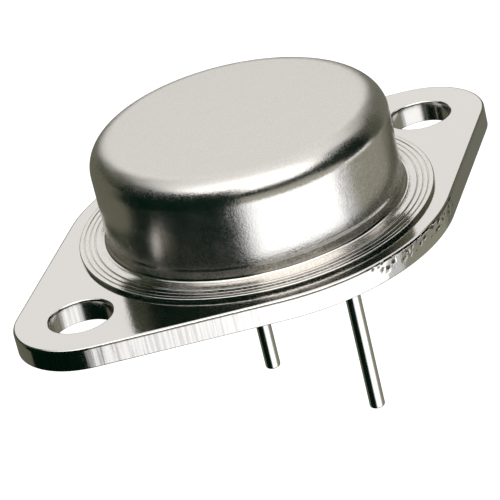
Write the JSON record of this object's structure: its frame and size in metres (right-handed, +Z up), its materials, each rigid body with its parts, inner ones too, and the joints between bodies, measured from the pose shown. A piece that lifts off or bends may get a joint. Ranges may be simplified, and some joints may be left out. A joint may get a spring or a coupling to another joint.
{
  "type": "power transistor",
  "caption": "Power transistor in a sealed metal can: lozenge mounting plate with a hole at each end, round drawn cap and straight leads on the underside.",
  "frame": {"origin": "on the cap's axis, in the seating plane, which is the header plate's underside", "axes": "+Z up through the cap, +X along the line of the mounting holes towards the hole nearer the leads' line, leads pointing down -Z"},
  "size_m": [0.0388, 0.0262, 0.0215],
  "materials": {
    "plated_plate": "nickel-plated stamped steel, satin upper face, sheared edge",
    "plated_cap": "nickel-plated drawn steel, fine matte grain on the top, brighter wall",
    "plated_lead": "nickel-plated nickel-iron wire",
    "seal_glass": "dark green sealing glass",
    "copper": "bare copper, coined",
    "solder": "tin-lead solder, dull grey",
    "silicon": "metallised silicon chip",
    "bond_wire": "bare aluminium wire"
  },
  "bodies": {
    "root": {"header_plate": "plated_plate", "cap": "plated_cap", "emitter_lead": "plated_lead", "base_lead": "plated_lead", "emitter_seal": "seal_glass", "base_seal": "seal_glass", "heat_spreader": "copper", "spreader_solder": "solder", "chip_solder": "solder", "chip": "silicon", "emitter_wire_1": "bond_wire", "emitter_wire_2": "bond_wire", "base_wire": "bond_wire"}
  },
  "joints": []
}
